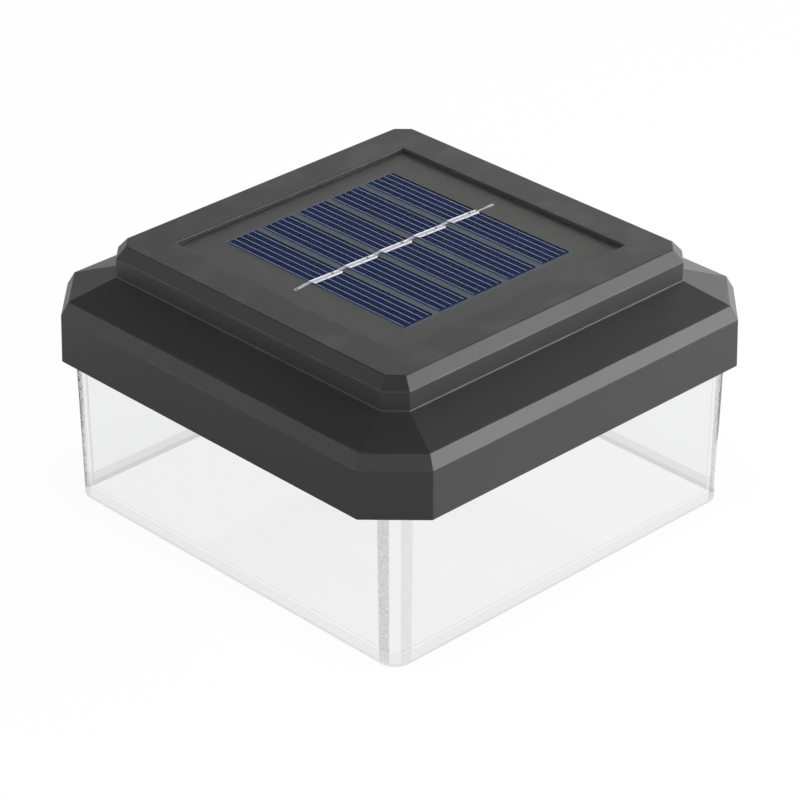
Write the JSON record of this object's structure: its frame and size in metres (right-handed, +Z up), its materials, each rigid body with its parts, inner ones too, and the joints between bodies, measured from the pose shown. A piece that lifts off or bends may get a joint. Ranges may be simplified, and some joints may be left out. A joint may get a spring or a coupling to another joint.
{
  "type": "deck post cap light",
  "caption": "Square solar light for the top of a deck post: dark stepped head with a solar panel, lifting off a clear tub.",
  "frame": {"origin": "middle of the tub's underside, on the post's top", "axes": "+Z up, +Y towards the back, +X to the right"},
  "size_m": [0.12, 0.12, 0.0657],
  "materials": {
    "clear_plastic": "clear moulded acrylic, polished",
    "head_plastic": "charcoal moulded plastic, fine satin",
    "white_plastic": "white moulded plastic, satin",
    "frosted_plastic": "frosted, light diffusing",
    "foam": "closed-cell foam",
    "glue": "cured silicone glue",
    "panel_backing": "dark grey laminate",
    "panel_resin": "clear cast resin",
    "silicon": "dark blue coated silicon",
    "tinned_ribbon": "hot-tinned",
    "screw_steel": "zinc plated",
    "contact_steel": "nickel plated",
    "battery_sleeve": "printed shrink sleeve over a steel can",
    "board_green": "solder-masked laminate",
    "board_white": "white solder-masked laminate",
    "led_package": "white package with a yellow phosphor face",
    "chip_black": "moulded epoxy",
    "choke_body": "dipped coat",
    "capacitor_can": "bare can",
    "switch_case": "pressed steel",
    "slider_plastic": "moulded",
    "lead_red": "insulated",
    "lead_black": "insulated"
  },
  "bodies": {
    "tub": {"clear_tub": "clear_plastic"},
    "head": {"battery_contact_plus": "contact_steel", "battery_contact_spring": "contact_steel", "battery_lead_minus": "lead_black", "battery_lead_plus": "lead_red", "board_screws": "screw_steel", "cap_shell": "head_plastic", "cell_ribbon_1": "tinned_ribbon", "cell_ribbon_2": "tinned_ribbon", "cell_ribbon_3": "tinned_ribbon", "cell_ribbon_4": "tinned_ribbon", "cell_ribbon_5": "tinned_ribbon", "choke_coil": "choke_body", "control_board": "board_green", "cover_screws": "screw_steel", "diffuser_lens": "frosted_plastic", "driver_chip": "chip_black", "led_1": "led_package", "led_2": "led_package", "led_3": "led_package", "led_4": "led_package", "led_board": "board_white", "led_board_screws": "screw_steel", "led_lead_minus": "lead_black", "led_lead_plus": "lead_red", "panel_adhesive": "glue", "panel_board": "panel_backing", "panel_lead_minus": "lead_black", "panel_lead_plus": "lead_red", "panel_resin": "panel_resin", "ribbon_tails": "tinned_ribbon", "rim_gasket": "foam", "solar_cell_1": "silicon", "solar_cell_2": "silicon", "solar_cell_3": "silicon", "solar_cell_4": "silicon", "solar_cell_5": "silicon", "storage_capacitor": "capacitor_can", "switch_body": "switch_case", "underside_cover": "white_plastic"},
    "door": {"battery_door": "white_plastic", "door_seal": "foam", "door_screws": "screw_steel"},
    "battery": {"battery_cell": "battery_sleeve"},
    "slider": {"switch_slider": "slider_plastic"}
  },
  "joints": [
    {"name": "head_lift", "type": "slide", "parent": "tub", "child": "head", "axis": [0, 0, 1], "range_m": [0, 0.05]},
    {"name": "switch_slide", "type": "slide", "parent": "head", "child": "slider", "axis": [1, 0, 0], "range_m": [0, 0.002]},
    {"name": "door_drop", "type": "slide", "parent": "head", "child": "door", "axis": [0, 0, -1], "range_m": [0, 0.034]},
    {"name": "battery_drop", "type": "slide", "parent": "head", "child": "battery", "axis": [0, 0, -1], "range_m": [0, 0.017]}
  ],
  "couplings": [
    {"joint": "battery_drop", "follows": "door_drop", "ratio": 0.5}
  ]
}
